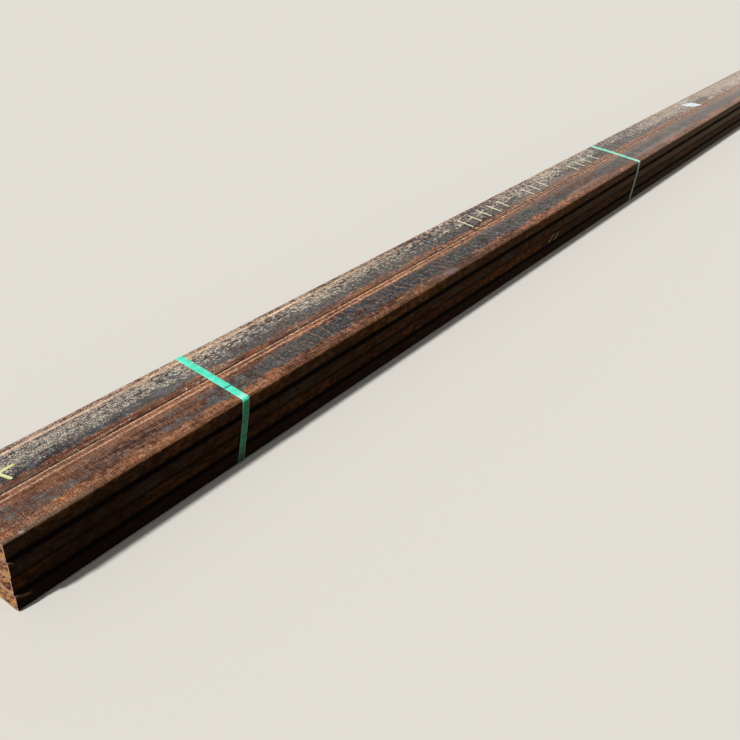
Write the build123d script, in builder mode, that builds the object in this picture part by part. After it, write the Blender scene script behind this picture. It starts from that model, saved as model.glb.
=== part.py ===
from build123d import *
import os

# Bundle of rectangular steel tubes: two columns of four tubes, laid flat and
# held together by three plastic straps. Millimetres, +Z up, +X along the
# tubes. The origin is the middle of the bundle's box, on the ground.

# Tube
tube_length = 7315.2  # 24 ft stock
tube_width = 152.4  # 6 in, lying flat
tube_height = 50.8  # 2 in
tube_wall = 4.76  # 3/16 in
corner_radius = 7.5  # rolled outer corner
bend_radius = 3.0  # rolled inner corner
flash_width = 5.0  # ridge that the seam weld leaves inside
flash_height = 1.2

# Stack
layers = 4
columns = 2
scale_gap = 0.3  # mill scale and rust between two tubes
layer_shift = 4.0  # every second layer lies this much further back
end_step = 4.0  # the back column's ends are this uneven
stagger_cycle = 3  # layers before the back column's ends repeat

# Straps
strap_width = 25.4  # 1 in
strap_thickness = 1.2
strap_clearance = 0.2  # between a strap and the tubes
near_strap_place = 758.0  # on the front edge, from the near end of the bundle
middle_strap_place = 3726.0
far_strap_place = 640.0  # from the far end of the bundle
near_strap_skew = 28.0  # how much further along it crosses the back edge
middle_strap_skew = 66.0
far_strap_skew = 24.0
near_strap_lean = 34.0  # how much further along it lies on top than underneath
middle_strap_lean = 46.0
far_strap_lean = 20.0
weld_overlap = 150.0  # the stretch on top where the strap lies double
weld_offset = 84.0  # from the front edge to the cut end
tail_ramp = 9.0  # where the upper end comes down to the lower one


# How far a tube's near end stands back from the frontmost one. Layer 0 is the
# lowest and column 0 the front one.
def end_shift(layer, column):
    return column * (1 + layer % stagger_cycle) * end_step


def side_shift(layer):
    return layer_shift * (layer % 2)


# Overall sizes, all from the values above
stack_places = [(layer, column) for layer in range(layers) for column in range(columns)]
stack_width = columns * (tube_width + scale_gap) - scale_gap
stack_height = layers * (tube_height + scale_gap) - scale_gap
stack_depth = stack_width + max(side_shift(layer) for layer in range(layers))
bundle_length = tube_length + max(end_shift(*place) for place in stack_places)
band_reach = strap_clearance + strap_thickness  # from a tube to a strap's outer face
bundle_height = stack_height + 2 * band_reach + strap_thickness
near_end = -bundle_length / 2
far_end = bundle_length / 2
front_face = -stack_depth / 2
back_face = stack_depth / 2
top_face = band_reach + stack_height


# Across and up: where the axis of one tube lies.
def tube_centre(layer, column):
    across = front_face + side_shift(layer) + tube_width / 2
    across += column * (tube_width + scale_gap)
    up = band_reach + tube_height / 2 + layer * (tube_height + scale_gap)
    return (across, up)


os.makedirs("parts", exist_ok=True)

# Tubes: each is a rolled and welded section. The weld's ridge stays inside, on
# the upper or the lower wall, as the tube happens to lie.
for layer, column in stack_places:
    across, up = tube_centre(layer, column)
    seam_side = 1 if (layer + column) % 2 else -1
    seam_wall = up + seam_side * (tube_height / 2 - tube_wall)
    with BuildPart() as tube:
        with BuildSketch(Plane.YZ.offset(near_end + end_shift(layer, column))):
            with Locations((across, up)):
                RectangleRounded(tube_width, tube_height, corner_radius)
                RectangleRounded(
                    tube_width - 2 * tube_wall,
                    tube_height - 2 * tube_wall,
                    bend_radius,
                    mode=Mode.SUBTRACT,
                )
            with Locations((across, seam_wall)):
                Ellipse(flash_width / 2, flash_height)
        extrude(amount=tube_length)
    column_name = "front" if column == 0 else "back"
    tube.part.label = f"tube_{column_name}_{layer + 1}"
    export_step(tube.part, f"parts/{tube.part.label}.step")

# The line that a tight strap takes round the stack, from corner to corner
with BuildSketch() as stack_outline:
    with Locations(*[tube_centre(*place) for place in stack_places]):
        Rectangle(tube_width, tube_height)
    make_hull()
    lowest, *_, highest = stack_outline.vertices().group_by(Axis.Y)
    fillet(lowest + highest, corner_radius)

# Straps: a band round the stack, its two ends friction-welded where they lie
# double on top, and cut to its own width along a loop that is askew both ways.
straps = {
    "strap_near": (near_end + near_strap_place, near_strap_skew, near_strap_lean),
    "strap_middle": (near_end + middle_strap_place, middle_strap_skew, middle_strap_lean),
    "strap_far": (far_end - far_strap_place, far_strap_skew, far_strap_lean),
}
for name, (place, skew, lean) in straps.items():
    band_start = place + min(skew, 0) - abs(lean) - strap_width
    band_length = abs(skew) + 2 * (abs(lean) + strap_width)
    band_top = top_face + band_reach
    cut_end = front_face + weld_offset
    tail_end = cut_end + weld_overlap
    front_out = front_face - 2 * band_reach
    back_out = back_face + 2 * band_reach
    skew_rate = skew / stack_depth
    front_mid = place - lean + skew_rate * (front_out - front_face)
    back_mid = place - lean + skew_rate * (back_out - front_face)
    with BuildPart() as strap:
        with BuildSketch(Plane.YZ.offset(band_start)):
            offset(stack_outline.sketch, band_reach, kind=Kind.INTERSECTION, mode=Mode.ADD)
            offset(
                stack_outline.sketch,
                strap_clearance,
                kind=Kind.INTERSECTION,
                mode=Mode.SUBTRACT,
            )
            with BuildLine():
                Polyline(
                    (cut_end, band_top - strap_thickness / 2),
                    (cut_end, band_top + strap_thickness),
                    (tail_end - tail_ramp, band_top + strap_thickness),
                    (tail_end, band_top),
                    (tail_end, band_top - strap_thickness / 2),
                    close=True,
                )
            make_face()
        extrude(amount=band_length)
        with BuildSketch(Plane.XY):
            with BuildLine():
                Polyline(
                    (front_mid - strap_width / 2, front_out),
                    (front_mid + strap_width / 2, front_out),
                    (back_mid + strap_width / 2, back_out),
                    (back_mid - strap_width / 2, back_out),
                    close=True,
                )
            make_face()
        extrude(amount=2 * bundle_height, dir=(lean, 0, bundle_height), mode=Mode.INTERSECT)
    strap.part.label = name
    export_step(strap.part, f"parts/{name}.step")
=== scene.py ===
# %% [markdown]
# # A bundle of rusty rectangular tubes
#
# Eight rectangular steel tubes, 24 ft long, lie flat in two columns of four, and three green
# plastic straps hold them together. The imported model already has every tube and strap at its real
# place, in metres, with X along the tubes and Z up. This script dresses that model: it gives the
# tubes their rust, mill scale and dust, rebuilds the straps with their welded overlap, and adds the
# small things that lie on the bundle.

import math
import random
from types import SimpleNamespace

import bmesh
import bpy
from mathutils import Matrix, Vector


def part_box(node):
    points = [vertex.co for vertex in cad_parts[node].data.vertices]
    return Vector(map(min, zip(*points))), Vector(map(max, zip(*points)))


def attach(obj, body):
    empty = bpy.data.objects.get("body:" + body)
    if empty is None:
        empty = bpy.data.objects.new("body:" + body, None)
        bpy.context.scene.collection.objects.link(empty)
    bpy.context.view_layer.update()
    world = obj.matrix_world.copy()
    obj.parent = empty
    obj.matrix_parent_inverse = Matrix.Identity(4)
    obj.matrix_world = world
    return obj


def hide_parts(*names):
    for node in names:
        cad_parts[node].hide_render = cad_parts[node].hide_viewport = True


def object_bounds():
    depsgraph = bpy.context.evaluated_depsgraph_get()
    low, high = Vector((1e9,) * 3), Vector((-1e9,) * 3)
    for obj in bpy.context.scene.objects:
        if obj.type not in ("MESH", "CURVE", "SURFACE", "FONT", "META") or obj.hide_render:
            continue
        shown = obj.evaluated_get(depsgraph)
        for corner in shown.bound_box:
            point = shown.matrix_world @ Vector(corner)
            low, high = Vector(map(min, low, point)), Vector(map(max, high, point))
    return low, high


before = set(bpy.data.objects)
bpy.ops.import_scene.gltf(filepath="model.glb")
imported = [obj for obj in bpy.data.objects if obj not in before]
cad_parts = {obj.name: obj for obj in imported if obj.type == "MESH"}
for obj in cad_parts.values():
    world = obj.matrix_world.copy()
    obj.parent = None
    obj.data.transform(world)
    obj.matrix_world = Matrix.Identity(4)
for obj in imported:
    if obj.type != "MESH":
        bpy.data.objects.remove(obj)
cad_box = [list(corner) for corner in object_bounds()]
tube_names = sorted(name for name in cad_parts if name.startswith("tube"))
print("CAD box:", cad_box)
print("Tubes:", tube_names)

# %% [markdown]
# ## Camera
#
# The camera stands beyond the near end of the bundle, a little in front of it and 1.5 m up, and
# looks down along the tubes. It could be pushed about by eye, but over 7 m of tube every half
# degree shows. So its place, its turns and its lens were worked out beforehand, from where corners,
# seams and straps lie in the picture. It is turned as on a tripod: round the vertical, then down,
# then the roll.

# %% Set up the camera
picture_width, focal_pixels, sensor_width = 740, 845.98, 36
focal_length = focal_pixels * sensor_width / picture_width
camera_place = Vector((-4.3244, -1.5388, 1.5305))
camera_yaw, camera_pitch, camera_roll = map(math.radians, (34.527, 31.669, 3.650))
floor_size, view_distance = 1600, 2000

bpy.ops.object.camera_add()
camera = bpy.context.object
camera.name = "picture_camera"
camera.data.sensor_width = sensor_width
camera.data.lens = focal_length
camera.data.clip_end = view_distance
camera.matrix_world = (
    Matrix.Translation(camera_place)
    @ Matrix.Rotation(camera_yaw - math.pi / 2, 4, "Z")
    @ Matrix.Rotation(math.pi / 2 - camera_pitch, 4, "X")
    @ Matrix.Rotation(camera_roll, 4, "Z")
)
bpy.context.scene.camera = camera
print("Lens in mm:", round(focal_length, 2))

# %% [markdown]
# ## Node helpers
#
# Rust is a sum of many small decisions: how far a point is from the corner, how much dust lies
# there, which noise breaks up the edge. Written node by node, that is unreadable. So one class
# wraps a socket and lets it take part in arithmetic, and another adds any node in one line. Colours
# and vectors keep to their own nodes, because a Math node would turn a colour grey.


# %% A socket that can be added and multiplied
def operator(operation, swapped=False):
    """A method that adds a Math node. Swapped, it puts the other value first."""

    def method(self, *others):
        values = (*others, self) if swapped else (self, *others)
        return self.nodes.add("ShaderNodeMath", {"operation": operation}, dict(enumerate(values)))

    return method


class Signal:
    """One output socket. Arithmetic on it adds Math nodes to the same tree."""

    def __init__(self, nodes, socket):
        self.nodes, self.socket = nodes, socket

    def other(self, output):
        """Another output of the node that this signal comes from."""
        return Signal(self.nodes, self.socket.node.outputs[output])

    __add__, __radd__ = operator("ADD"), operator("ADD", swapped=True)
    __sub__, __rsub__ = operator("SUBTRACT"), operator("SUBTRACT", swapped=True)
    __mul__, __rmul__ = operator("MULTIPLY"), operator("MULTIPLY", swapped=True)
    __truediv__, __abs__ = operator("DIVIDE"), operator("ABSOLUTE")
    least, most, sine = operator("MINIMUM"), operator("MAXIMUM"), operator("SINE")


# %% A node tree that takes one line per node
class Nodes:
    """A node tree that is being filled."""

    def __init__(self, tree):
        self.tree = tree
        tree.nodes.clear()

    def add(self, kind, settings=None, inputs=None, output=0):
        """Add a node: its settings come first, then the values or links of its sockets."""
        node = self.tree.nodes.new(kind)
        for name, value in (settings or {}).items():
            if name == "stops":
                stops = node.color_ramp.elements
                while len(stops) < len(value):
                    stops.new(1)
                for stop, (position, colour) in zip(stops, value):
                    stop.position, stop.color = position, colour
            else:
                setattr(node, name, value)
        for key, value in (inputs or {}).items():
            if isinstance(value, Signal):
                self.tree.links.new(value.socket, node.inputs[key])
            else:
                node.inputs[key].default_value = value
        return Signal(self, node.outputs[output]) if node.outputs else None

    def vector(self, operation, first, second):
        inputs = {0: first, 1: second}
        return self.add("ShaderNodeVectorMath", {"operation": operation}, inputs)

    def split(self, vector):
        x = self.add("ShaderNodeSeparateXYZ", inputs={0: vector})
        return x, x.other("Y"), x.other("Z")

    def join(self, x, y, z):
        return self.add("ShaderNodeCombineXYZ", inputs={0: x, 1: y, 2: z})

    def mix(self, factor, first, second):
        """The first colour where the factor is 0, the second where it is 1."""
        inputs = {0: factor, 6: first, 7: second}
        return self.add("ShaderNodeMix", {"data_type": "RGBA"}, inputs, output=2)

    def ramp(self, value, *stops):
        return self.add("ShaderNodeValToRGB", {"stops": stops}, {0: value})

    def rise(self, value, low, high):
        """0 below low and 1 above high, with a soft step between them."""
        settings = {"interpolation_type": "SMOOTHSTEP"}
        inputs = {"Value": value, "From Min": low, "From Max": high}
        return self.add("ShaderNodeMapRange", settings, inputs)

    def between(self, value, low, high, soft):
        """1 from low to high and 0 outside, with a soft step at both."""
        past_high = self.rise(value, high - soft, high + soft)
        return self.rise(value, low - soft, low + soft) * (1 - past_high)

    def place(self):
        """Where a point lies, in metres."""
        return self.add("ShaderNodeTexCoord", output="Object")

    def bump(self, height, strength, distance):
        inputs = {"Strength": strength, "Distance": distance, "Height": height}
        return self.add("ShaderNodeBump", inputs=inputs)

    def strong(self, noise, low=0.38, high=0.62):
        """Noise keeps close to one half. This pulls it apart until it fills 0 to 1."""
        return self.rise(noise, low, high)

    def noise(self, place, scale, detail, roughness=0.55):
        inputs = {"Vector": place, "Scale": scale, "Detail": detail, "Roughness": roughness}
        return self.add("ShaderNodeTexNoise", inputs=inputs)

    def stretched_noise(self, place, scales, detail, roughness=0.55):
        """Noise with a scale of its own along each axis."""
        return self.noise(self.vector("MULTIPLY", place, scales), 1.0, detail, roughness)

    def cells(self, place, scales):
        """Two chances from 0 to 1, the same all over a grain, with a scale for each axis."""
        drawn = self.vector("MULTIPLY", place, scales)
        grain = self.add("ShaderNodeTexVoronoi", inputs={"Vector": drawn, "Scale": 1.0})
        return self.split(grain.other("Color"))[:2]


# %% Colours as they are read off a picture
def tint(red, green, blue):
    """An sRGB colour from 0 to 255, as the linear colour that a socket takes."""
    parts = [part / 255 for part in (red, green, blue)]
    linear = [p / 12.92 if p <= 0.04045 else ((p + 0.055) / 1.055) ** 2.4 for p in parts]
    return (*linear, 1.0)


def new_finish(name):
    """A new material and its empty node tree."""
    material = bpy.data.materials.new(name)
    material.use_nodes = True
    return material, Nodes(material.node_tree)


def shade(nodes, **sockets):
    """End a finish with its shader. Values that are the same all over go on its own sockets."""
    inputs = {key.replace("_", " "): value for key, value in sockets.items()}
    shader = nodes.add("ShaderNodeBsdfPrincipled", inputs=inputs)
    nodes.add("ShaderNodeOutputMaterial", inputs={"Surface": shader})


print("A mid grey is", [round(part, 3) for part in tint(128, 128, 128)])

# %% [markdown]
# ## Floor and light
#
# The bundle lies on a plain pale floor. One soft lamp stands for the sun: it shines along the tubes
# from beyond the near end, half way up the sky and a touch from behind, so that the tops and the
# cut ends are lit, the front is in shade, and a narrow shadow lies along the foot. An area lamp
# would light 7 m of tube unevenly. The rest of the light comes from all around. The floor and the
# world look pale to the camera and in reflections, but send less light back, so that a colour on
# the object renders about as it is written.

# %% Lay the floor
pale = tint(226, 222, 213)
floor_bounce = tint(104, 98, 88)


def looked_at(nodes):
    """1 for what is seen, also in a reflection or through glass, and 0 for light that bounces."""
    ray = nodes.add("ShaderNodeLightPath", output="Is Camera Ray")
    return ray + ray.other("Is Glossy Ray") + ray.other("Is Transmission Ray")


bpy.ops.object.select_all(action="DESELECT")
bpy.ops.mesh.primitive_plane_add(size=floor_size)
floor = bpy.context.object
floor.name = "floor"
floor_material, nodes = new_finish("pale_floor")
floor_colour = nodes.mix(looked_at(nodes), floor_bounce, pale)
floor_shader = nodes.add("ShaderNodeBsdfDiffuse", inputs={"Color": floor_colour})
nodes.add("ShaderNodeOutputMaterial", inputs={"Surface": floor_shader})
floor.data.materials.append(floor_material)
print("Floor:", floor_size, "m wide")

# %% Light it
sun_direction = Vector((-1.0, 0.15, 1.0)).normalized()
sun_width = math.radians(4)
sky_level = 0.22
sun_level = (1 - sky_level) * math.pi / sun_direction.z

bpy.ops.object.light_add(type="SUN")
sun = bpy.context.object
sun.name = "soft_sun"
sun.rotation_euler = sun_direction.to_track_quat("Z", "Y").to_euler()
sun.data.energy = sun_level
sun.data.angle = sun_width

world = bpy.data.worlds.new("pale_surroundings")
bpy.context.scene.world = world
world.use_nodes = True
nodes = Nodes(world.node_tree)
sky = nodes.mix(looked_at(nodes), (sky_level, sky_level, sky_level, 1.0), pale)
background = nodes.add("ShaderNodeBackground", inputs={"Color": sky})
nodes.add("ShaderNodeOutputWorld", inputs={"Surface": background})
bpy.context.scene.view_settings.view_transform = "Standard"
print("Sun strength:", round(sun_level, 2))

# %% [markdown]
# ## Rust, mill scale and dust
#
# A hot-rolled tube leaves the mill under a blue-grey scale. In the open the scale breaks up and red
# rust comes through, first at the rolled corners and along scratches, last in the middle of a flat
# side. Pale dust then settles on what faces up. Noise alone would spread all this evenly, but it
# depends on where a point lies on its tube. So the finish is made from distances: across from the
# tube's middle, up from it, and along the bundle. Each tube has its own material, because the band
# of scale, the dust and the shade of rust differ from tube to tube.

# %% The colours of the steel
rust_pit = tint(50, 30, 26)
rust_shadow = tint(78, 50, 40)
side_brown = tint(70, 42, 24)
rust_brown = tint(106, 70, 54)
rust_warm = tint(134, 92, 70)
rust_bright = tint(188, 142, 112)
rust_orange = tint(168, 102, 60)
rust_red = tint(86, 48, 38)
red_dusty = tint(164, 128, 106)
rust_line = tint(158, 122, 98)
sunlit_brown = tint(128, 98, 74)
edge_brown = tint(104, 68, 38)
corner_grey = tint(100, 86, 72)
purple_scale = tint(74, 62, 62)
scale_dark = tint(20, 32, 44)
scale_blue = tint(50, 66, 76)
scale_pale = tint(104, 114, 116)
side_pale = tint(98, 90, 78)
scale_olive = tint(84, 82, 70)
dust_pale = tint(234, 222, 202)
dust_tan = tint(158, 138, 118)
soil_pink = tint(216, 196, 186)
dust_and_sheen_grey = tint(172, 161, 153)
dust_and_sheen_warm = tint(186, 164, 150)
groove_grey = tint(132, 118, 110)
edge_rust = tint(214, 160, 118)
cut_steel = tint(206, 170, 140)
hollow_orange = tint(206, 142, 80)
hollow_tan = tint(160, 126, 96)
painted_shade_black = tint(12, 6, 4)

# %% [markdown]
# The looks below say how the tubes differ, in metres. A plain look holds what most tubes share, and
# only the two top tubes need a look for their tops. `band` is where scale is left on the top,
# across from the tube's middle, `patchy` the stretch along X over which it goes from none to whole,
# and `thin` the one where less of it is left. `red` is a dark red strip beside the seam, and
# `speckle` how much light and dark the grains have. `dust` is how much dust lies on the near and
# the far side of the top, and `drifts` are stretches with more of it or less: place along, reach,
# how much. `rungs` is the stretch where hairlines run across the band, `soil` the one over which
# pink soil sets in, and `lines` the thin lines that run lengthwise: place across, half width,
# colour, strength, and how far along they go. `spots` are stains: place, half size, colour,
# strength.
#
# `side`, `side_grey` and `side_rusty` are the colour of the two sides, and how much grey scale and
# orange rust show on them, `side_dust` how dusty they get further along, and `side_shade` how much
# painted shade the pile above lays on them, near and far. `dark_edges` is how black the painted
# shade makes the lower and the upper edge of a side, where it meets the next tube. `sunlit_end` is
# a painted patch of sunlight on the side by the sawn end: its length, how steeply its upper edge
# falls, and its height.

# %% How each tube differs
plain_look = {
    "patchy": (-6.0, -4.0),
    "thin": (5.0, 6.0),
    "red": None,
    "speckle": 1.1,
    "drifts": (),
    "rungs": (-2.7, -1.4),
    "soil": None,
    "side": tint(96, 58, 36),
    "side_grey": 0.3,
    "side_rusty": 0.3,
    "side_dust": 0.3,
    "side_shade": (0.0, 0.0),
    "dark_edges": (0.9, 0.9),
    "sunlit_end": None,
}
looks = {
    "tube_front_4": {
        "band": (-0.034, 0.042),
        "patchy": (-3.6, -1.9),
        "thin": (-1.1, -0.1),
        "dust": (-0.4, -0.5),
        "lines": (
            (0.037, 0.014, tint(152, 108, 82), 0.5, -2.7),
            (-0.073, 0.008, edge_brown, 0.7, -0.4),
            (0.059, 0.017, tint(156, 112, 86), 0.4, 9.0),
            (0.0512, 0.0042, tint(222, 174, 142), 0.8, -1.7),
            # The next line is a painted highlight on the corner by the groove, and the one after it
            # is painted shade in the groove.
            (0.0695, 0.0034, tint(230, 188, 156), 0.85, 9.0),
            (0.0748, 0.0026, rust_pit, 0.7, -1.2),
        ),
        "spots": (
            (-0.69, -0.078, 0.11, 0.02, purple_scale, 0.8),
            (-1.79, -0.132, 0.05, 0.014, tint(188, 172, 176), 0.5),
            (-0.508, -0.158, 0.008, 0.005, tint(232, 226, 214), 0.9),
            (-3.56, -0.07, 0.06, 0.022, purple_scale, 0.4),
            (-3.36, -0.09, 0.07, 0.02, purple_scale, 0.4),
            (-3.24, -0.075, 0.09, 0.016, scale_dark, 0.5),
            (-1.8, -0.128, 0.33, 0.03, tint(84, 80, 72), 0.45),
            (-0.5, -0.103, 0.23, 0.012, tint(158, 126, 108), 0.7),
            (0.55, -0.104, 0.5, 0.018, tint(164, 136, 122), 0.6),
            (-3.612, -0.1465, 0.008, 0.006, tint(250, 244, 234), 1.0),
            (0.6, -0.032, 2.6, 0.018, groove_grey, 0.55),
            (3.0, -0.035, 1.2, 0.045, tint(196, 172, 160), 0.5),
        ),
        "side": tint(92, 62, 32),
        "side_grey": 0.1,
        "side_rusty": 0.35,
        "side_dust": 0.5,
        "dark_edges": (1.0, 0.0),
    },
    "tube_back_4": {
        "band": (-0.048, 0.076),
        "red": (-0.08, -0.056),
        "speckle": 1.4,
        "dust": (0.06, 0.54),
        "drifts": (
            (-3.6, 0.2, -0.1),
            (-2.3, 0.4, -0.08),
            (-1.5, 0.6, -0.12),
            (-0.5, 0.4, 0.08),
            (0.35, 0.4, -0.15),
            (1.9, 1.5, 0.3),
        ),
        "rungs": (-2.5, -1.2),
        "soil": (1.75, 2.15),
        "lines": (
            (0.068, 0.011, tint(118, 76, 52), 0.8, 1.0),
            (0.051, 0.006, tint(244, 208, 174), 0.9, -2.0),
            # Painted shade in the groove beside the front tube.
            (-0.0748, 0.0026, rust_pit, 0.7, -1.2),
        ),
        "spots": (
            (1.835, 0.028, 0.045, 0.018, tint(240, 234, 226), 1.0),
            (1.56, 0.12, 0.085, 0.014, tint(220, 216, 212), 0.9),
            (1.9, 0.1, 0.11, 0.026, tint(218, 180, 166), 0.6),
            # Painted shadow on the back tube beside the middle strap.
            (0.078, 0.095, 0.03, 0.065, rust_pit, 0.5),
            (-3.04, 0.146, 0.01, 0.012, rust_pit, 0.9),
            (1.5, 0.012, 1.7, 0.02, tint(116, 98, 86), 0.5),
            (-2.35, 0.05, 0.9, 0.042, tint(164, 154, 144), 0.2),
            (-0.6, 0.034, 0.45, 0.016, tint(160, 136, 120), 0.5),
            (1.715, 0.052, 0.14, 0.032, tint(90, 90, 98), 0.9),
            (2.6, 0.055, 0.55, 0.035, tint(222, 202, 188), 0.6),
            (2.6, 0.156, 1.2, 0.02, tint(124, 106, 92), 0.75),
            (-2.69, 0.01, 0.05, 0.012, rust_orange, 0.5),
            (-2.15, 0.014, 0.08, 0.012, rust_orange, 0.5),
        ),
        "side": tint(104, 70, 44),
        "dark_edges": (1.0, 0.0),
    },
    "tube_front_3": {
        "side": tint(84, 50, 34),
        "side_grey": 0.5,
        "side_rusty": 0.15,
        "side_dust": 0.66,
        "side_shade": (0.35, 0.0),
        "dark_edges": (0.5, 1.0),
        "sunlit_end": (0.016, 0.64, 0.008),
    },
    "tube_front_2": {
        "side": tint(100, 58, 26),
        "side_grey": 0.15,
        "side_rusty": 0.5,
        "side_dust": 0.28,
        "side_shade": (0.4, 0.4),
        "dark_edges": (1.0, 0.5),
    },
    "tube_front_1": {
        "side": tint(54, 30, 22),
        "side_grey": 0.15,
        "side_rusty": 0.0,
        "side_dust": 0.34,
        "side_shade": (0.7, 0.15),
        "dark_edges": (0.9, 1.0),
        "sunlit_end": (0.046, 0.36, 0.013),
    },
}


# %% Where a point lies on its tube
away_span, dust_and_sheen_span, far_span = (-3.2, -0.4), (-2.2, 2.2), (-1.6, 2.4)


def tube_places(n, name):
    """The distances that the finish of one tube is made from, in metres, and where it changes."""
    low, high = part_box(name)
    centre, half = (low + high) / 2, (high - low) / 2
    place = n.place()
    x, y, z = n.split(place)
    along, across, up = x - centre.x, y - centre.y, z - centre.z
    from_side = half.y - abs(across)
    from_flat = half.z - abs(up)
    flat = n.rise(from_side - from_flat, -0.0022, -0.0010)
    return SimpleNamespace(
        place=place,
        x=x,
        y=y,
        across=across,
        above=half.z - up,
        below=half.z + up,
        depth=from_side.least(from_flat),
        corner=1 - n.rise(from_side.most(from_flat), 0.001, 0.007),
        facing_up=flat * n.rise(up, 0.0, 0.01),
        from_near=x - low.x,
        at_end=n.rise(abs(along), half.x - 0.0004, half.x - 0.0002),
        away=n.rise(x, *away_span),
        dust_and_sheen=n.rise(x, *dust_and_sheen_span),
        far=n.rise(x, *far_span),
    )


# %% [markdown]
# Noise gathers round one half, and a finish made from it as it comes looks washed out. So each
# pattern is pulled apart until it fills 0 to 1. They have the sizes of what they stand for: grains
# of 3 mm, blisters of 20 mm, patches half a metre long, and the rolls' fine hatching across the
# tube. The flecks of dust are cells of one shade each, finest at the near end.


# %% Patterns of rusty steel
fine_cells, clump_cells = (400, 400, 400), (80, 180, 180)
coarser_cells = (((170, 270, 270), -3.05), ((85, 150, 150), -1.75))
cell_change = 0.15


def steel_patterns(n, own, x):
    """The patterns at a point. `own` is its place on this tube's own stretch of the noise."""
    speck, fleck = n.cells(own, fine_cells)
    for scales, start in coarser_cells:
        larger = n.rise(x, start - cell_change, start + cell_change)
        other_speck, other_fleck = n.cells(own, scales)
        speck = speck + (other_speck - speck) * larger
        fleck = fleck + (other_fleck - fleck) * larger
    return SimpleNamespace(
        clump=n.cells(own, clump_cells)[0],
        speck=speck,
        fleck=fleck,
        grain=n.strong(n.noise(own, 360, 3, 0.7)),
        mottle=n.strong(n.stretched_noise(own, (38, 75, 75), 4, 0.65)),
        patch=n.strong(n.stretched_noise(own, (3.0, 11, 11), 3, 0.6)),
        hatch=n.strong(n.stretched_noise(own, (170, 26, 26), 3, 0.7)),
        streak=n.strong(n.stretched_noise(own, (7, 230, 230), 2)),
        block=n.strong(n.stretched_noise(own, (17, 9, 9), 2)),
        drift=n.stretched_noise(own, (9, 6, 6), 2),
        wobble=n.stretched_noise(own, (8, 3, 3), 3, 0.6) - 0.5,
    )


def rust_colour(n, p):
    """From the shadows of the pits to the bright crust, with orange where it is fresh."""
    depth = p.mottle * 0.26 + p.grain * 0.28 + p.hatch * 0.20 + p.patch * 0.26
    rust = n.ramp(
        depth,
        (0.16, rust_pit),
        (0.34, rust_shadow),
        (0.48, rust_brown),
        (0.64, rust_warm),
        (0.86, rust_bright),
    )
    return n.mix(n.rise(p.patch + p.block * 0.5, 0.9, 1.4) * 0.3, rust, rust_orange)


# %% [markdown]
# Mill scale is brittle and cracks across the tube, and rust shows in the cracks as hairlines at
# even steps. Straight lines would look ruled, so a sine wave along the tube is pushed about by
# noise.

# %% Mill scale
turn = 2 * math.pi
rung_spacing = 0.034


def scale_colour(n, look, t, p):
    """Blue-grey scale, with hairlines of rust across it like the rungs of a ladder."""
    depth = p.grain * 0.38 + p.mottle * 0.34 + p.block * 0.28
    scale = n.ramp(depth, (0.14, scale_dark), (0.5, scale_blue), (0.88, scale_pale))
    scale = n.mix(n.rise(p.patch, 0.35, 0.9) * 0.3, scale, scale_olive)
    rungs_low, rungs_high = look["rungs"]
    ladder = n.between(t.x, rungs_low, rungs_high, 0.5)
    scale = n.mix(n.rise(p.block, 0.45, 0.85) * ladder * 0.55, scale, scale_dark)
    turns = (t.x / rung_spacing + p.drift * 3.4 + t.across * 3.0) * turn
    hairline = n.rise(turns.sine(), 0.80, 1.0) * n.rise(p.mottle + p.block, 0.6, 1.2)
    scale = n.mix(hairline * (0.1 + 0.65 * ladder), scale, rust_line)
    return n.mix(p.hatch * 0.10, scale, rust_line)


def scale_left(n, look, t, p):
    """Where the scale is still there, from 0 to 1."""
    low, high = look["band"]
    on_band = n.between(t.across + p.wobble * 0.05, low, high, 0.006)
    whole = n.rise(t.x, *look["patchy"]) * (1 - 0.35 * n.between(t.x, *look["thin"], 0.2))
    left = p.patch * 0.45 + p.block * 0.12 + p.mottle * 0.20 + p.streak * 0.13 + p.grain * 0.10
    return on_band * n.rise(left + whole * 0.45, 0.50, 0.84)


# %% [markdown]
# The top is built up from the steel outwards: rust, scale, scratches, then dust, stains, and a pale
# veil further along that is dust in part and painted sheen in part.
# Each layer is a mix whose factor says where it lies, so any of them can be changed alone.


# %% The top of a tube
def top_colour(n, look, t, p, scaled):
    """Rust and scale, the red strip, the lines along the tube and the soil."""
    top = n.mix(scaled * 0.95, rust_colour(n, p), scale_colour(n, look, t, p))
    if look["red"]:
        low, high = look["red"]
        red = n.mix(p.mottle * 0.6 + p.grain * 0.4, rust_red, rust_brown)
        red = n.mix(n.rise(t.x, -2.6, -1.0) * 0.7, red, red_dusty)
        top = n.mix(n.between(t.across + p.wobble * 0.03, low, high, 0.006) * 0.85, top, red)
    top = n.mix(n.rise(p.streak, 0.55, 0.95) * (0.25 - 0.2 * scaled), top, rust_bright)
    for place, reach, colour, strength, until in look["lines"]:
        on_line = 1 - n.rise(abs(t.across + p.wobble * 0.005 - place), reach * 0.6, reach)
        on_line = on_line * (1 - n.rise(t.x, until - 0.4, until + 0.4))
        top = n.mix(on_line * (0.35 + 0.4 * p.streak + 0.25 * p.speck) * strength, top, colour)
    if look["soil"]:
        soil = n.rise(t.x, *look["soil"]) * n.rise(p.patch * 0.5 + p.block * 0.5, 0.1, 0.5)
        top = n.mix(soil * 0.8, top, soil_pink)
    return top


def stained(n, look, t, p, top):
    """Stains with ragged edges, on the steel and on the dust."""
    for x, y, reach_x, reach_y, colour, strength in look["spots"]:
        beside = (t.x - x) / reach_x
        beyond = (t.y - y) / reach_y
        spread = beside * beside + beyond * beyond + (p.mottle - 0.5) * 0.9
        stain = (1 - n.rise(spread, 0.45, 1.15)) * (0.6 + 0.4 * p.grain)
        top = n.mix(stain * strength, top, colour)
    return top


# %% Dust on the top
dirt_along, dirt_across = (-3.48, -3.40), (-0.074, -0.058)


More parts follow.
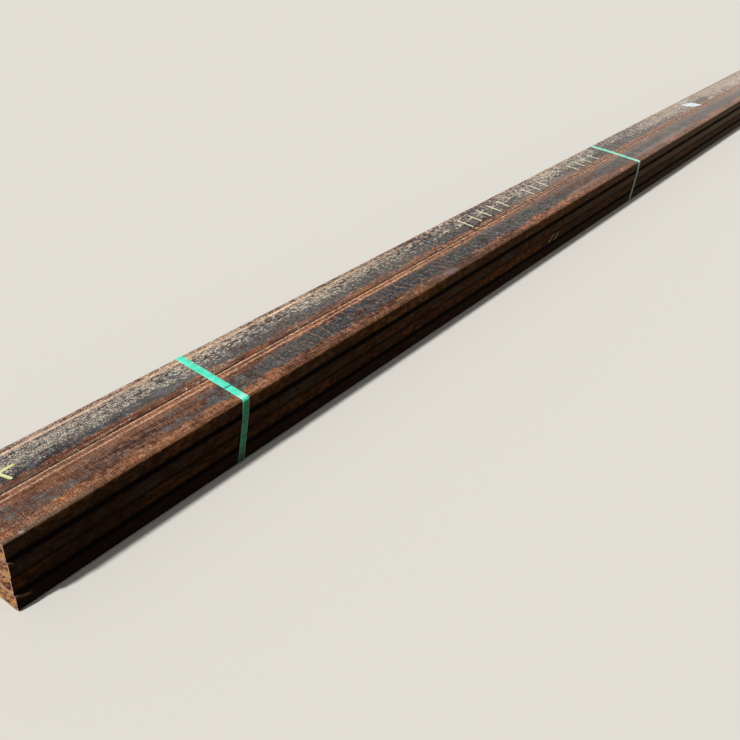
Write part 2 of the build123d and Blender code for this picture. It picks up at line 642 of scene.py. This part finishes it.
def dust_cover(n, look, t, p):
    """How much dust lies on the top: less beside the seam, more further along."""
    near, far = look["dust"]
    cover = near + (far - near) * n.rise(t.across, -0.045, 0.020)
    for place, reach, more in look["drifts"]:
        cover = cover + (1 - n.rise(abs(t.x - place), reach * 0.5, reach)) * more
    return cover + (p.patch - 0.5) * 0.25 + (p.mottle - 0.5) * 0.25 + (p.streak - 0.5) * 0.25


def dusted(n, look, t, p, cover, top):
    """Lay flecks of dust on the top, where chance and the cover let them. Also says where."""
    fine_share = 0.85 - t.away * 0.4
    chance = p.speck * fine_share + p.clump * (1 - fine_share)
    flecks = n.rise(cover - chance, -0.02, 0.08)
    dust = n.mix(n.rise(p.fleck, 0.1, 0.9), dust_tan, dust_pale)
    rusty_edge = n.rise(t.across, 0.026, 0.046) * (1 - t.away * 0.6)
    dust = n.mix(rusty_edge * (0.2 + 0.6 * p.speck), dust, edge_rust)
    top = n.mix(flecks * 0.9, top, dust)
    return n.mix(n.rise(cover, 0.3, 1.3) * 0.15, top, dust_tan), flecks


def near_corner(n, t, p, top):
    """Dirt on the corner by the sawn end."""
    dirt = 1 - n.rise(t.x + p.wobble * 0.2, *dirt_along)
    dirt = dirt * (1 - n.rise(t.across, *dirt_across)) * (0.45 + 0.45 * p.mottle)
    return n.mix(dirt, top, n.mix(p.grain * p.speck, corner_grey, dust_tan))


# %% [markdown]
# The sides get dustier further along. Their light comes from the lamp, but some of their shade is
# painted: black along the seams, because the gap between two tubes is too fine for the lamp to
# show, darker under the pile above, and in part the darkening towards the near end, which is partly
# darker scale. By the sawn end of two tubes a patch of sunlight is painted on.


# %% The sides of a tube
def side_colour(n, look, t, p, topmost):
    """Darker than the top, greyer in patches, with painted shade at the seams and painted sunlight.
    """
    tone = p.mottle * 0.35 + p.streak * 0.25 + p.patch * 0.4
    side = n.mix(n.rise(tone, 0.15, 0.85), side_brown, look["side"])
    rusty = n.rise(p.patch * 0.5 + p.mottle * 0.5, 0.5, 0.9)
    side = n.mix(rusty * look["side_rusty"], side, rust_orange)
    grey = n.rise(p.block * 0.4 + (1 - p.patch) * 0.6 + t.far * 0.1, 0.5, 0.9)
    side = n.mix(grey * look["side_grey"], side, side_pale)
    side = n.mix(n.rise(p.grain * 0.7 + p.mottle * 0.3, 0.68, 0.95) * 0.4, side, rust_bright)
    side = n.mix(t.far * look["side_dust"], side, dust_tan)
    # Darker towards the near end: painted shade in part, and darker mill scale in part.
    side = n.mix((1 - n.rise(t.x, -3.8, -1.6)) * 0.5, side, painted_shade_black)
    # Painted shade that the pile above lays on the side, near and far.
    shade_near, shade_far = look["side_shade"]
    side = n.mix(shade_near + (shade_far - shade_near) * t.far, side, painted_shade_black)
    # Painted shade, black along the edges where the side meets the next tube.
    dark_below, dark_above = look["dark_edges"]
    side = n.mix((1 - n.rise(t.below, 0.004, 0.015)) * dark_below, side, painted_shade_black)
    if topmost:
        return side
    ledge = 1 - n.rise(t.above, 0.003, 0.012)
    side = n.mix(ledge * dark_above, side, painted_shade_black)
    if look["sunlit_end"] is None:
        return side
    # A painted patch of sunlight on the side, where the sun slips past the end of the tube above.
    length, slope, height = look["sunlit_end"]
    lower = t.above - t.from_near * slope + (p.mottle - 0.5) * 0.002
    glow = n.rise(lower, -0.0005, 0.0015) * (1 - n.rise(lower, 0.002, height))
    glow = glow * (1 - n.rise(t.from_near, length * 0.6, length))
    return n.mix(glow * 0.9, side, sunlit_brown)


# %% [markdown]
# The ends are sawn, and rusty water runs out of the hollows. They could have materials of their
# own, but then the solid's faces have to be sorted first, so the finish tells outside, hollow and
# cut apart by distance.

# %% The sawn ends and the hollow
wall_low, wall_high = 0.0036, 0.0042


def end_colour(n, t, p, outside):
    """Bare steel where it is sawn, and slanting runs of orange rust inside the hollow."""
    x, y, z = n.split(t.place)
    slanting = n.join(x * 130 + z * 90, y * 60, z * 14 - x * 12)
    drip = n.strong(n.noise(slanting, 1.0, 3, 0.6))
    hollow = n.ramp(
        drip * 0.6 + p.mottle * 0.25 + p.grain * 0.15,
        (0.10, rust_shadow),
        (0.36, rust_warm),
        (0.60, hollow_tan),
        (0.84, hollow_orange),
    )
    colour = n.mix(n.rise(t.depth, wall_low, wall_high), outside, hollow)
    sawn = n.mix(p.mottle * 0.5 + p.grain * 0.5, rust_warm, cut_steel)
    return n.mix(t.at_end, colour, sawn)


# %% The whole finish of one tube
steel_gloss, steel_relief, small_relief = 0.04, 0.0008, 0.0003


def tube_finish(name, look, own_shift, topmost):
    """The sides and ends of every tube, and for a topmost one the top that the sun shows."""
    material, n = new_finish(name + "_finish")
    t = tube_places(n, name)
    p = steel_patterns(n, n.vector("ADD", t.place, own_shift), t.x)
    outside = side_colour(n, look, t, p, topmost)
    if topmost:
        scaled = scale_left(n, look, t, p)
        top = top_colour(n, look, t, p, scaled)
        contrast = (1 + 0.3 * t.away) * look["speckle"]
        top = n.vector("MULTIPLY", top, 1 + (p.speck - 0.5) * contrast)
        top, flecks = dusted(n, look, t, p, dust_cover(n, look, t, p), top)
        top = stained(n, look, t, p, top)
        # Paler and greyer further along: dust in part, and in part a painted sheen where the top is
        # seen at a grazing angle.
        top = n.mix(t.dust_and_sheen * 0.40, top, n.mix(scaled, dust_and_sheen_warm, dust_and_sheen_grey))
        top = n.mix(t.corner * (0.3 + 0.7 * p.mottle) * 0.15, top, rust_bright)
        outside = n.mix(t.facing_up, outside, near_corner(n, t, p, top))
    else:
        scaled = flecks = p.patch * 0.2
    colour = end_colour(n, t, p, outside)
    relief = p.grain * 0.5 + p.mottle * 0.8 + scaled * 0.3 + flecks * 0.5 + p.hatch * 0.2
    bump = n.bump(relief, 0.6, steel_relief)
    roughness = 0.92 - scaled * (1 - flecks) * 0.32
    shade(n, Base_Color=colour, Roughness=roughness, Normal=bump, Specular_IOR_Level=steel_gloss)
    return material


# %% Put it on the tubes, each on its own stretch of the noise
shift_step = (3.7, 1.3, 0.9)
top_layer = "_4"

for index, name in enumerate(tube_names):
    look = {**plain_look, **looks.get(name, {})}
    own_shift = tuple(step * index for step in shift_step)
    finish = tube_finish(name, look, own_shift, name.endswith(top_layer))
    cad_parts[name].material_slots[0].material = finish
print("Finished tubes:", len(tube_names))

# %% [markdown]
# ## Modelling helpers
#
# Everything new is made the way it would be made by hand: add a primitive, go into edit mode,
# select something, push it about. An operator acts on whatever is selected, so each step first
# selects what it means, by place or by direction.


# %% Selecting by place
def only(*things):
    """Select these objects and no others. The first becomes the active one."""
    bpy.ops.object.select_all(action="DESELECT")
    for thing in things:
        thing.select_set(True)
    bpy.context.view_layer.objects.active = things[0]


def pick(kind, test):
    """In edit mode, select the verts, edges or faces that pass the test, and no others."""
    bpy.ops.mesh.select_mode(type=kind)
    bpy.ops.mesh.select_all(action="DESELECT")
    mesh = bmesh.from_edit_mesh(bpy.context.edit_object.data)
    for element in {"VERT": mesh.verts, "EDGE": mesh.edges, "FACE": mesh.faces}[kind]:
        if test(element):
            element.select_set(True)
    bmesh.update_edit_mesh(bpy.context.edit_object.data)


def cut(axis, *places):
    """In edit mode, cut the whole mesh across the axis at each place."""
    for place in places:
        bpy.ops.mesh.select_all(action="SELECT")
        bpy.ops.mesh.bisect(
            plane_co=[place if i == axis else 0 for i in range(3)],
            plane_no=[1 if i == axis else 0 for i in range(3)],
        )


def push(test, step):
    """In edit mode, move the verts that pass the test by one step."""
    pick("VERT", test)
    bpy.ops.transform.translate(value=step)


def settle():
    """Put the active object's place, turn and size into its mesh."""
    bpy.ops.object.transform_apply(location=True, rotation=True, scale=True)


def sheet(length, width, place=(0, 0, 0)):
    """Add a plane of this size, with nothing else selected."""
    bpy.ops.object.select_all(action="DESELECT")
    bpy.ops.mesh.primitive_plane_add(size=1, location=place)
    bpy.ops.transform.resize(value=(length, width, 1))
    settle()
    return bpy.context.object


def apply_modifier(kind, **settings):
    """Give the active object a modifier and make its result the mesh."""
    modifier = bpy.context.object.modifiers.new(kind.lower(), kind)
    for name, value in settings.items():
        setattr(modifier, name, value)
    bpy.ops.object.modifier_apply(modifier=modifier.name)


# %% [markdown]
# ## Straps
#
# Each strap is a 1 in band of green polyester. A hand tool pulls it tight and rubs its two ends
# together on top of the bundle until they weld, so the band lies double there and ends in a cut
# edge. It could be a profile swept along a curve, but a box of the bundle's section has its bends
# in the right place at once: its two open sides are taken away, its corners bevelled to the bend of
# the tubes, and Solidify gives it a thickness. The double stretch is a second strip laid on it.
# That straight strap is made once. Its three copies are then slid askew, because a real strap never
# goes round square.

# %% The size of the loop, from the tubes
strap_width, strap_thickness, strap_reach = 0.0254, 0.0012, 0.0014
tube_corner, touch = 0.0075, 0.001
strap_bend = tube_corner + strap_reach
stack_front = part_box("tube_front_1")[0].y
stack_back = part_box("tube_back_4")[1].y
stack_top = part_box("tube_front_4")[1].z
front_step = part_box("tube_front_4")[0].y - stack_front
third_layer_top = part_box("tube_front_3")[1].z
second_layer_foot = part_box("tube_back_2")[0].z
loop_front, loop_back = stack_front - strap_reach, stack_back + strap_reach
loop_top = stack_top + strap_reach
print("Loop from", loop_front, "to", loop_back, "and up to", loop_top)

# %% The band, straight, as a box without its open sides
height_cuts = (0.026, 0.052, 0.078, 0.104, 0.130, 0.180)
depth_cuts = (-0.1, -0.05, 0.0, 0.05, 0.1)
width_cuts = (-0.008, 0.0, 0.008)

bpy.ops.object.select_all(action="DESELECT")
bpy.ops.mesh.primitive_cube_add(
    size=1,
    location=(0, (loop_front + loop_back) / 2, loop_top / 2),
    scale=(strap_width, loop_back - loop_front, loop_top),
)
band = bpy.context.object
band.name = "straight_band"
settle()
bpy.ops.object.mode_set(mode="EDIT")
pick("FACE", lambda face: abs(face.normal.x) > 0.5)
bpy.ops.mesh.delete(type="FACE")
cut(2, second_layer_foot, third_layer_top)
push(lambda v: v.co.z > loop_top - touch and v.co.y < 0, (0, front_step, 0))
push(lambda v: v.co.z < touch and v.co.y > 0, (0, -front_step, 0))


def is_bend(edge):
    """True for the edges across the band at the bundle's four long corners."""
    start, end = (v.co for v in edge.verts)
    along_x = abs(start.x - end.x) > strap_width / 2
    return along_x and (start.z < touch or start.z > loop_top - touch)


pick("EDGE", is_bend)
bpy.ops.mesh.bevel(offset=strap_bend, segments=8, affect="EDGES")
cut(2, *height_cuts)
cut(1, *depth_cuts)
cut(0, *width_cuts)
bpy.ops.object.mode_set(mode="OBJECT")
apply_modifier("SOLIDIFY", thickness=strap_thickness, offset=-1)
print("Band faces:", len(band.data.polygons))

# %% The double stretch on top, down to the single band at its far end
weld_offset, overlap, ramp = 0.084, 0.150, 0.009
tail_aside, tail_spread = -0.0008, 0.0006
cut_end = stack_front + weld_offset
tail_cuts = [cut_end + along for along in (0.006, 0.012, 0.036, 0.09, overlap - ramp)]
worn_corner, smooth_up_to = (-0.0006, -0.0025, 0), math.radians(35)

tail_middle = (tail_aside, cut_end + overlap / 2, loop_top + strap_thickness)
tail = sheet(strap_width + tail_spread, overlap, tail_middle)
bpy.ops.object.mode_set(mode="EDIT")
cut(1, *tail_cuts)
cut(0, *width_cuts)
push(lambda v: v.co.y > cut_end + overlap - ramp / 2, (0, 0, -strap_thickness * 0.9))
push(lambda v: v.co.y < cut_end + touch and v.co.x < -0.006, worn_corner)
bpy.ops.object.mode_set(mode="OBJECT")
apply_modifier("SOLIDIFY", thickness=strap_thickness, offset=-1)
only(band, tail)
bpy.ops.object.join()
apply_modifier("BEVEL", width=0.0002, segments=2, limit_method="ANGLE")
bpy.ops.object.shade_smooth_by_angle(angle=smooth_up_to)
print("Straight strap faces:", len(band.data.polygons))

# %% [markdown]
# The pattern on a strap has to follow it round the corners and stay put when the strap is slid
# askew. A UV map would do, but it needs seams. So before the slide, every point of the straight
# strap writes down where it lies: how far across the band, how far round it, and how far from the
# front. The material reads that note instead of the point's place. It is bright green on top, with
# a painted highlight before the front bend, and painted shade makes it darker down the sides and
# darkest at the foot. The middle strap has faded.

# %% Write down where each point lies on the band
unwound = band.data.attributes.new("unwound", "FLOAT_VECTOR", "POINT")
for vertex, note in zip(band.data.vertices, unwound.data):
    x, y, z = vertex.co
    note.vector = (x, abs(y) - z, y)
print("Points noted:", len(unwound.data))


# %% Where a point lies on a strap
fibre_draw = (1.0, 0.12, 0.12)


def strap_places(n):
    """The noted distances, in metres, and the patterns that lie on them."""
    settings = {"attribute_type": "GEOMETRY", "attribute_name": "unwound"}
    noted = n.add("ShaderNodeAttribute", settings, output="Vector")
    across, around, back = n.split(noted)
    cloud = n.strong(n.noise(noted, 34, 3))
    return SimpleNamespace(
        across=across,
        around=around,
        back=back,
        cloud=cloud,
        scuff=n.strong(n.noise(noted, 210, 2), 0.54, 0.68) * cloud,
        fibre=n.strong(n.noise(n.vector("MULTIPLY", noted, fibre_draw), 520, 3, 0.6)),
        edge=n.rise(abs(across), 0.0092, 0.0122),
        on_top=1 - n.rise(around, -0.060, -0.055),
        down_side=n.rise(around, -0.054, -0.040),
        foot=n.rise(around, 0.07, 0.14),
        in_front=1 - n.rise(back, -0.15, -0.14),
    )


# %% Green polyester, with a painted highlight on top and painted shade down the sides to the foot
def strap_green(n, s):
    green = n.mix(s.cloud, tint(60, 228, 184), tint(92, 249, 216))
    green = n.mix(s.fibre * 0.15, green, tint(150, 250, 226))
    # A painted highlight on top, just before the front bend.
    shine = n.between(s.around, -0.082, -0.062, 0.007)
    shine = shine * (1 - n.rise(s.back, -0.05, 0.0))
    green = n.mix(shine * 0.7, green, tint(190, 255, 244))
    # Painted shade down the sides, darkest at the foot.
    lower = n.mix(s.foot, tint(26, 138, 90), tint(6, 40, 20))
    lower = n.mix(s.cloud * 0.3, lower, tint(24, 92, 60))
    green = n.mix(s.down_side, green, lower)
    green = n.mix(s.edge * (0.2 + 0.15 * s.down_side), green, tint(160, 222, 196))
    return n.mix(s.scuff * 0.4, green, tint(196, 214, 190))


# %% The shadow at the cut end, and a notch and a stain in front
def strap_marks(n, s, green):
    cut_shadow = 1 - n.rise(abs(s.back - (cut_end - 0.0016) + s.across * 0.12), 0.0008, 0.0024)
    green = n.mix(cut_shadow * s.on_top * 0.8, green, tint(14, 60, 46))
    notch = 1 - n.rise(abs(s.around - 0.067 + s.across * 0.15), 0.0026, 0.0052)
    notch = notch * n.rise(s.across, -0.008, -0.003)
    notch = notch * (1 - n.rise(s.across, 0.003, 0.010) * 0.4)
    stain = 1 - n.rise(abs(s.around - 0.016 + s.across * 0.4), 0.004, 0.010)
    return n.mix((notch * 0.95 + stain * 0.35) * s.in_front, green, tint(4, 40, 14))


# %% The weave, and the ribs where the ends are welded
weave_pitch, rib_pitch = 0.0024, 0.0016


def strap_weave(n, s):
    first = ((s.across + s.around) * (turn / weave_pitch)).sine()
    second = ((s.across - s.around) * (turn / weave_pitch)).sine()
    ribs = (s.back * (turn / rib_pitch)).sine()
    weld = n.between(s.back, cut_end + 0.014, cut_end + 0.040, 0.001) * s.on_top
    return (first * second * (1 - s.edge) + s.fibre) * (1 - weld) + weld * ribs * 1.6


# %% The whole finish of one strap
strap_gloss, strap_relief = 0.3, 0.0002


def strap_finish(name, faded):
    material, n = new_finish(name + "_strap_finish")
    s = strap_places(n)
    green = strap_marks(n, s, strap_green(n, s))
    green = n.mix(faded * (0.5 + 0.5 * s.cloud), green, tint(206, 222, 206))
    # Painted shade down the sides of the faded strap, too.
    green = n.mix(faded * s.down_side * 0.8, green, tint(124, 130, 112))
    bump = n.bump(strap_weave(n, s), 0.5, strap_relief)
    roughness = 0.36 + 0.3 * s.scuff + 0.15 * s.down_side
    shade(n, Base_Color=green, Roughness=roughness, Normal=bump, Specular_IOR_Level=strap_gloss)
    return material


# %% [markdown]
# A slide moves each point along the bundle by a share of its depth and height. Its numbers say
# where the strap crosses the top front edge, how far it is askew and leans, and how faded it is.

# %% Three copies, each slid askew to where its strap crosses the bundle
bundle_height = cad_box[1][2]
strap_slides = {
    "near": (-2.9056, 0.028, 0.034, 0.0),
    "middle": (0.0624, 0.066, 0.046, 0.55),
    "far": (3.0236, 0.024, 0.020, 0.3),
}
for place, (front_top, skew, lean, faded) in strap_slides.items():
    strap = band.copy()
    strap.data = band.data.copy()
    strap.name = place + "_strap_band"
    bpy.context.collection.objects.link(strap)
    slide = Matrix.Identity(4)
    slide[0][1] = skew / (stack_back - stack_front)
    slide[0][2] = lean / bundle_height
    slide[0][3] = front_top - lean - stack_front * slide[0][1]
    strap.data.transform(slide)
    strap.data.materials.append(strap_finish(place, faded))
    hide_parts("strap_" + place)
    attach(strap, "root")
    print(strap.name, "at x", round(front_top, 3))
bpy.data.objects.remove(band)

# %% [markdown]
# ## Paint marks
#
# Counted stock gets marks from a yellow paint pen: here a cross, tally strokes on top of the back
# column, and two strokes on the shaded side. They could be part of the steel's finish, but then
# they would have no edge. A stroke is a thin film with round ends, so each is a slim plane with its
# corners bevelled and its middle pushed a little sideways, and one Solidify gives them all a
# thickness. The paint has worn through where the steel under it is rough.

# %% One stroke of a paint pen
paint_marks = []
film_thickness, film_lift, lift_step = 0.00015, 0.0002, 0.00005
bow_cuts, on_cut = (-0.3, -0.15, 0.0, 0.15, 0.3), 0.0002


def stroke(start, end, width, bow, upright=False):
    """Paint a stroke between two points: x and y on the top, or x and z on the front."""
    run = Vector(end) - Vector(start)
    mark = sheet(run.length, width)
    bpy.ops.object.mode_set(mode="EDIT")
    bpy.ops.mesh.select_all(action="SELECT")
    bpy.ops.mesh.bevel(offset=width * 0.4, segments=3, affect="VERTICES")
    cut(0, *(run.length * part for part in bow_cuts))
    for part in bow_cuts:
        sideways = bow * (1 - 4 * part * part)
        push(lambda v: abs(v.co.x - run.length * part) < on_cut, (0, sideways, 0))
    bpy.ops.object.mode_set(mode="OBJECT")
    lift = film_lift + lift_step * (len(paint_marks) % 3)
    middle = (Vector(start) + Vector(end)) / 2
    heading = math.atan2(run.y, run.x)
    if upright:
        mark.location = (middle.x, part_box("tube_front_2")[0].y - lift, middle.y)
        mark.rotation_euler = (math.pi / 2, -heading, 0)
    else:
        mark.location = (middle.x, middle.y, stack_top + lift)
        mark.rotation_euler = (0, 0, heading)
    settle()
    paint_marks.append(mark)


# %% Worn paint
def paint_finish(name, fresh, worn, cover):
    """Paint in two shades, dusty, and gone in specks. `cover` is how much of it is left."""
    material, n = new_finish(name + "_finish")
    place = n.place()
    cloud = n.strong(n.noise(place, 60, 3))
    fine = n.noise(place, 420, 3, 0.65)
    colour = n.mix(cloud, fresh, worn)
    colour = n.mix(n.strong(fine) * 0.3, colour, dust_tan)
    kept = n.rise(fine + cloud * 0.08, 0.56 - cover * 0.2, 0.60 - cover * 0.2)
    bump = n.bump(fine, 0.4, small_relief)
    shade(n, Base_Color=colour, Roughness=0.55 + 0.2 * cloud, Alpha=kept, Normal=bump)
    return material


def gather_marks(name, fresh, worn, cover):
    """Join the strokes painted so far into one piece with one finish."""
    only(*paint_marks)
    bpy.ops.object.join()
    marks = bpy.context.object
    marks.name = name
    apply_modifier("SOLIDIFY", thickness=film_thickness, offset=0)
    marks.data.materials.append(paint_finish(name, fresh, worn, cover))
    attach(marks, "root")
    paint_marks.clear()
    print(name, "faces:", len(marks.data.polygons))


# %% The cross by the near end
stroke((-3.578, 0.066), (-3.484, 0.0745), 0.0085, 0.001)
stroke((-3.538, 0.112), (-3.519, 0.029), 0.0095, -0.001)
gather_marks("yellow_cross", tint(226, 240, 110), tint(240, 240, 190), 0.9)

# %% The tally on top: short strokes side by side, in groups
tally_groups = (
    (-1.350, -1.026, 0.030, 0.118, 5),
    (-0.800, -0.650, 0.026, 0.104, 3),
    (-0.310, -0.062, 0.026, 0.102, 4),
)
tally_slant, tally_width, tally_bow = 0.013, 0.008, 0.0005

for first_x, last_x, low_y, high_y, count in tally_groups:
    for number in range(count):
        x = first_x + (last_x - first_x) * number / (count - 1)
        short = 0.003 * (number * 2 % 3)
        stroke((x, low_y + short), (x + tally_slant, high_y - short), tally_width, tally_bow)
gather_marks("tally_strokes", tint(250, 244, 190), tint(240, 234, 204), 1.0)

# %% Two strokes on the shaded side
stroke((-0.958, 0.066), (-0.912, 0.092), 0.006, 0.002, upright=True)
stroke((-0.905, 0.062), (-0.868, 0.088), 0.006, -0.002, upright=True)
gather_marks("side_strokes", tint(214, 196, 110), tint(190, 170, 110), 0.5)

# %% [markdown]
# ## A blank tag
#
# Past the middle strap a pale plastic tag lies askew on the back tube. It is a thin sheet that has
# curled. A cloth could be dropped onto the tube, but so small a curl is quicker by hand: a plane,
# cut a few times, with two corners and the middle raised.

# %% The tag
tag_middle = Vector((1.515, 0.055, stack_top + 0.0006))
tag_length, tag_width, tag_thickness, tag_turn = 0.130, 0.076, 0.0003, math.radians(-14)
tag_near, tag_far, tag_front, tag_back = 1.479, 1.565, 0.035, 0.079
tag_corner, tag_raised = 0.006, (1.50, 1.54)
tag_cuts_along = (1.478, 1.492, 1.508, 1.532, 1.550, 1.566)
tag_cuts_across = (0.034, 0.046, 0.058, 0.070, 0.080)

tag = sheet(tag_length, tag_width, tag_middle)
tag.name = "blank_tag"
bpy.ops.object.mode_set(mode="EDIT")
bpy.ops.mesh.select_all(action="SELECT")
bpy.ops.mesh.bevel(offset=tag_corner, segments=4, affect="VERTICES")
cut(0, *tag_cuts_along)
cut(1, *tag_cuts_across)
push(lambda v: v.co.x > tag_far and v.co.y > tag_back, (-0.014, -0.004, 0.0012))
push(lambda v: v.co.x < tag_near and v.co.y < tag_front, (0.012, 0.005, 0.0009))
push(lambda v: v.co.x > tag_far and v.co.y < tag_front, (0.006, 0.004, 0))
push(lambda v: tag_raised[0] < v.co.x < tag_raised[1], (0, 0, 0.0005))
bpy.ops.object.mode_set(mode="OBJECT")
askew = Matrix.Rotation(tag_turn, 4, "Z")
tag.data.transform(Matrix.Translation(tag_middle) @ askew @ Matrix.Translation(-tag_middle))
apply_modifier("SUBSURF", levels=2, render_levels=2)
apply_modifier("SOLIDIFY", thickness=tag_thickness, offset=0)
bpy.ops.object.shade_smooth_by_angle(angle=smooth_up_to)


# %% Its plastic, pale and a little grimy
def tag_finish():
    material, n = new_finish("blank_tag_finish")
    place = n.place()
    cloud = n.strong(n.noise(place, 40, 4, 0.6))
    grime = n.strong(n.noise(place, 260, 3), 0.5, 0.62)
    colour = n.mix(cloud, tint(216, 224, 232), tint(248, 252, 250))
    colour = n.mix(grime * 0.3, colour, dust_tan)
    bump = n.bump(cloud, 0.3, small_relief)
    shade(n, Base_Color=colour, Roughness=0.45 + 0.3 * grime, Normal=bump)
    return material


tag.data.materials.append(tag_finish())
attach(tag, "root")
print("Tag faces:", len(tag.data.polygons))

# %% [markdown]
# ## Crumbs of soil
#
# Soil and small stones have blown onto the bundle: they lodge in the groove between the two top
# tubes and lie scattered on the near corner and on the dusty back tube. A particle system could
# strew them, but a loop says plainly how many lie where. Three crumbs are modelled, each a ball
# with its points pushed about. Copies in many sizes are then strewn, always in the same places,
# because the random numbers start from a fixed seed.

# %% Three crumbs to copy
random.seed(41)
crumb_shapes = []
for number in range(3):
    bpy.ops.object.select_all(action="DESELECT")
    bpy.ops.mesh.primitive_ico_sphere_add(subdivisions=2, radius=1, location=(0, 0, 0))
    crumb = bpy.context.object
    bpy.ops.object.mode_set(mode="EDIT")
    bpy.ops.mesh.select_all(action="SELECT")
    bpy.ops.transform.vertex_random(offset=0.2, uniform=0.2, normal=0.4, seed=number + 3)
    bpy.ops.object.mode_set(mode="OBJECT")
    bpy.ops.object.shade_smooth_by_angle(angle=math.radians(50))
    crumb_shapes.append(crumb)
print("Crumb shapes:", len(crumb_shapes))


# %% Lay one down
flatness, lying = 0.65, 0.3


def strew(x, y, z, size):
    """Lay a copy of one of the crumbs with its middle at the given height."""
    crumb = random.choice(crumb_shapes).copy()
    crumb.data = crumb.data.copy()
    bpy.context.collection.objects.link(crumb)
    spin = Matrix.Rotation(random.uniform(0, 6.28), 4, "Z")
    shape = Matrix.Diagonal((size * random.uniform(0.8, 1.3), size, size * flatness, 1))
    crumb.data.transform(Matrix.Translation((x, y, z)) @ spin @ shape)
    return crumb


# %% Strew them in the groove, on the back tube and on the near corner
crumbs = []
in_groove, on_back_tube, on_corner = 110, 90, 40
groove_y = (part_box("tube_front_4")[1].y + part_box("tube_back_4")[0].y) / 2
groove_z, corner_y = stack_top - 0.0042, -0.142
groove_span, back_span, corner_span = (-3.6, 3.6), (-3.62, 3.62), (-3.64, -3.40)

for number in range(in_groove):
    size = random.uniform(0.0010, 0.0022)
    crumbs.append(strew(random.uniform(*groove_span), groove_y, groove_z, size))
for number in range(on_back_tube):
    size = random.uniform(0.0006, 0.0014)
    y = random.uniform(groove_y + 0.05, groove_y + 0.14)
    crumbs.append(strew(random.uniform(*back_span), y, stack_top + size * lying, size))
for number in range(on_corner):
    size = random.uniform(0.0006, 0.0015)
    y = corner_y + abs(random.gauss(0, 0.03))
    crumbs.append(strew(random.uniform(*corner_span), y, stack_top + size * lying, size))
only(*crumbs)
bpy.ops.object.join()
crumbs = bpy.context.object
crumbs.name = "soil_crumbs"
for crumb in crumb_shapes:
    bpy.data.objects.remove(crumb)


# %% Dry soil
def crumb_finish():
    material, n = new_finish("soil_crumbs_finish")
    place = n.place()
    cloud = n.strong(n.noise(place, 90, 2))
    fine = n.noise(place, 900, 3)
    colour = n.mix(cloud, tint(150, 136, 116), tint(206, 196, 178))
    colour = n.mix(n.strong(fine) * 0.4, colour, tint(112, 98, 82))
    bump = n.bump(fine, 0.5, small_relief)
    shade(n, Base_Color=colour, Roughness=0.95 - 0.1 * cloud, Normal=bump)
    return material


crumbs.data.materials.append(crumb_finish())
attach(crumbs, "root")
print("Crumb faces:", len(crumbs.data.polygons))
